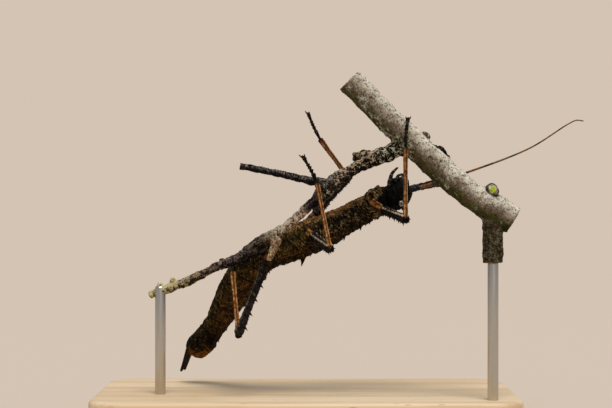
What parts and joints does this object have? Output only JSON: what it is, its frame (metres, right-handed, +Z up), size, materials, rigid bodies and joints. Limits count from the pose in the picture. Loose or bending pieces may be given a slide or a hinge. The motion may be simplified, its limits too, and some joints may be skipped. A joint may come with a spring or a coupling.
{
  "type": "stick insect",
  "caption": "Thorny stick insect hanging belly up under a forked twig, as a life-size still model on a flat wooden base with thin rods.",
  "frame": {"origin": "centre of the base's flat underside", "axes": "+Z up, +X towards the insect's head along the base's length, -Y towards the insect's left side"},
  "size_m": [0.1157, 0.058, 0.0806],
  "materials": {
    "cuticle": "rough horny cuticle, mottled olive brown to near black, with fine wrinkles and pale lines",
    "head_cuticle": "near-black grained cuticle with a slight sheen",
    "eye": "glossy dark brown, finely faceted",
    "leg_brown": "orange-brown cuticle with fine dark lengthwise lines",
    "leg_dark": "near-black brown cuticle with a cream upper line",
    "antenna": "orange brown with darker rings",
    "bark": "grey bark with pale lichen and dark specks",
    "base_wood": "pale wood, satin varnish",
    "rod_metal": "brushed rod"
  },
  "bodies": {
    "root": {"head": "head_cuticle", "eye_left": "eye", "palp_left": "head_cuticle", "antenna_left_base": "antenna", "antenna_left_middle": "antenna", "antenna_left_tip": "antenna", "eye_right": "eye", "palp_right": "head_cuticle", "antenna_right_base": "antenna", "antenna_right_middle": "antenna", "antenna_right_tip": "antenna", "prothorax": "cuticle", "mesothorax": "cuticle", "metathorax": "cuticle", "abdomen_front": "cuticle", "abdomen_middle": "cuticle", "abdomen_rear": "cuticle", "abdomen_end": "cuticle", "ovipositor_lower": "leg_dark", "ovipositor_upper": "leg_dark", "coxa_front_left": "leg_brown", "femur_front_left": "leg_dark", "tibia_front_left": "leg_brown", "tarsus_front_left": "leg_dark", "coxa_front_right": "leg_brown", "femur_front_right": "leg_dark", "tibia_front_right": "leg_brown", "tarsus_front_right": "leg_dark", "coxa_middle_left": "leg_brown", "femur_middle_left": "leg_dark", "tibia_middle_left": "leg_brown", "tarsus_middle_left": "leg_dark", "coxa_middle_right": "leg_brown", "femur_middle_right": "leg_dark", "tibia_middle_right": "leg_brown", "tarsus_middle_right": "leg_dark", "coxa_hind_left": "leg_brown", "femur_hind_left": "leg_dark", "tibia_hind_left": "leg_brown", "tarsus_hind_left": "leg_dark", "coxa_hind_right": "leg_brown", "femur_hind_right": "leg_dark", "tibia_hind_right": "leg_brown", "tarsus_hind_right": "leg_dark", "perch": "bark", "stand_base": "base_wood", "stand_rod_left": "rod_metal", "stand_rod_right": "rod_metal"}
  },
  "joints": []
}
